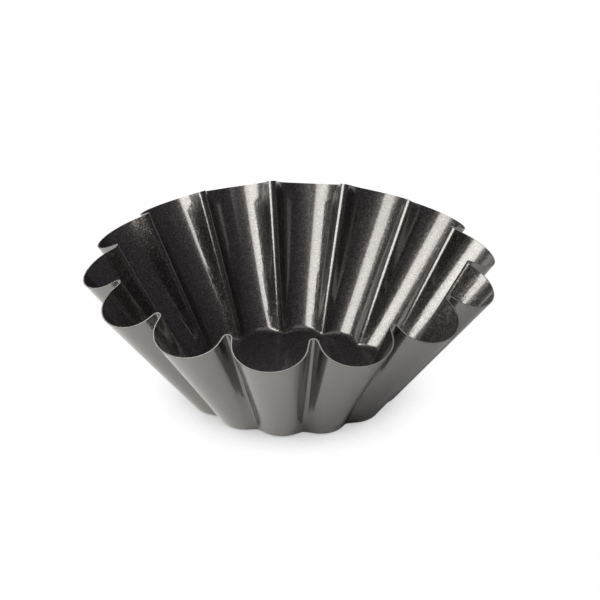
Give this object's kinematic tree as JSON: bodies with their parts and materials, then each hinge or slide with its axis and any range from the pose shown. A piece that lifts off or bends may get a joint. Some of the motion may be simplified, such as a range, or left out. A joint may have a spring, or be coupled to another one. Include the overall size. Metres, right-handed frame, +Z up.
{
  "type": "brioche mould",
  "caption": "Round tapered baking mould for brioche: a thin coated steel cup with deep upright flutes, a scalloped open rim and a small flat base that it stands on.",
  "frame": {"origin": "middle of the flat base's underside, on the mould's axis", "axes": "+Z up out of the open mouth, +X through the crest of a flute"},
  "size_m": [0.2206, 0.2162, 0.079],
  "materials": {
    "bare_steel": "bare sheared edge of cold-rolled steel sheet",
    "flake_nonstick": "dark warm grey non-stick coat with fine metal flake, semi-gloss",
    "satin_grey_coat": "smooth satin mid-grey coat"
  },
  "bodies": {
    "root": {"steel_shell": "bare_steel", "inner_nonstick_coat": "flake_nonstick", "outer_coat": "satin_grey_coat"}
  },
  "joints": []
}
